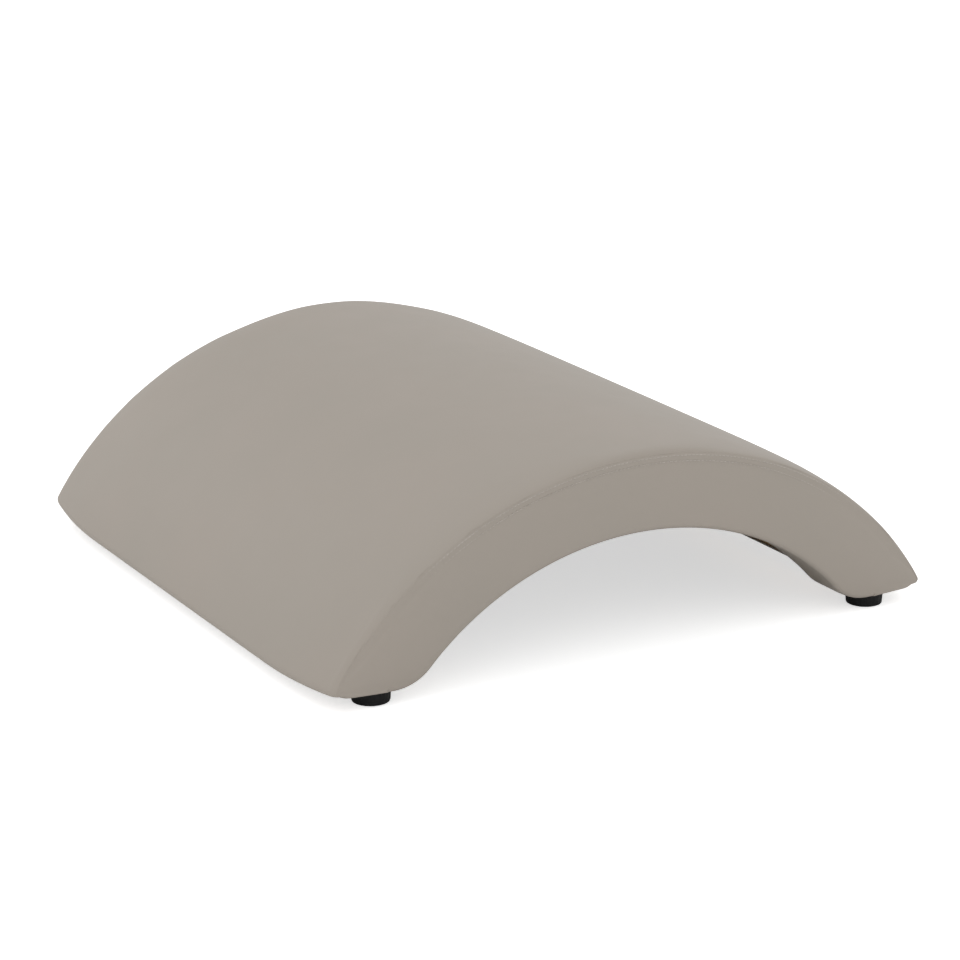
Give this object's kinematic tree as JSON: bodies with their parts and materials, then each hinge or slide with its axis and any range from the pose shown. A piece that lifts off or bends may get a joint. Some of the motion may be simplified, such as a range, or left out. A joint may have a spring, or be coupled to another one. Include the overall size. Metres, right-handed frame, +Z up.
{
  "type": "pilates arc",
  "caption": "Padded half-arch to lie over, with pointed tips, flat faces cut out below as an arch, and rubber feet.",
  "frame": {"origin": "on the floor, under the middle of the arch", "axes": "+X along the arch from its left tip to its right tip, +Y across its width towards the rear face, +Z up"},
  "size_m": [0.6826, 0.68, 0.2055],
  "materials": {
    "vinyl": "matt",
    "foam": "soft",
    "plywood": "unfinished",
    "lining_cloth": "matt",
    "rubber": "matt",
    "zinc_steel": "zinc plated"
  },
  "bodies": {
    "root": {"crown_rail": "plywood", "deck": "plywood", "front_cover": "vinyl", "front_crown_rail_screw": "zinc_steel", "front_foam": "foam", "front_left_doubler_block_screw": "zinc_steel", "front_left_end_rail_screw": "zinc_steel", "front_left_foot": "rubber", "front_left_foot_block": "plywood", "front_left_foot_insert": "zinc_steel", "front_left_foot_screw": "zinc_steel", "front_left_foot_washer": "zinc_steel", "front_left_rail_screw": "zinc_steel", "front_left_rib_block_screw": "zinc_steel", "front_rib": "plywood", "front_rib_doubler": "plywood", "front_right_doubler_block_screw": "zinc_steel", "front_right_end_rail_screw": "zinc_steel", "front_right_foot": "rubber", "front_right_foot_block": "plywood", "front_right_foot_insert": "zinc_steel", "front_right_foot_screw": "zinc_steel", "front_right_foot_washer": "zinc_steel", "front_right_rail_screw": "zinc_steel", "front_right_rib_block_screw": "zinc_steel", "left_end_rail": "plywood", "left_rail": "plywood", "lining": "lining_cloth", "rear_cover": "vinyl", "rear_crown_rail_screw": "zinc_steel", "rear_foam": "foam", "rear_left_doubler_block_screw": "zinc_steel", "rear_left_end_rail_screw": "zinc_steel", "rear_left_foot": "rubber", "rear_left_foot_block": "plywood", "rear_left_foot_insert": "zinc_steel", "rear_left_foot_screw": "zinc_steel", "rear_left_foot_washer": "zinc_steel", "rear_left_rail_screw": "zinc_steel", "rear_left_rib_block_screw": "zinc_steel", "rear_rib": "plywood", "rear_rib_doubler": "plywood", "rear_right_doubler_block_screw": "zinc_steel", "rear_right_end_rail_screw": "zinc_steel", "rear_right_foot": "rubber", "rear_right_foot_block": "plywood", "rear_right_foot_insert": "zinc_steel", "rear_right_foot_screw": "zinc_steel", "rear_right_foot_washer": "zinc_steel", "rear_right_rail_screw": "zinc_steel", "rear_right_rib_block_screw": "zinc_steel", "right_end_rail": "plywood", "right_rail": "plywood", "top_cover": "vinyl", "top_foam": "foam"}
  },
  "joints": []
}
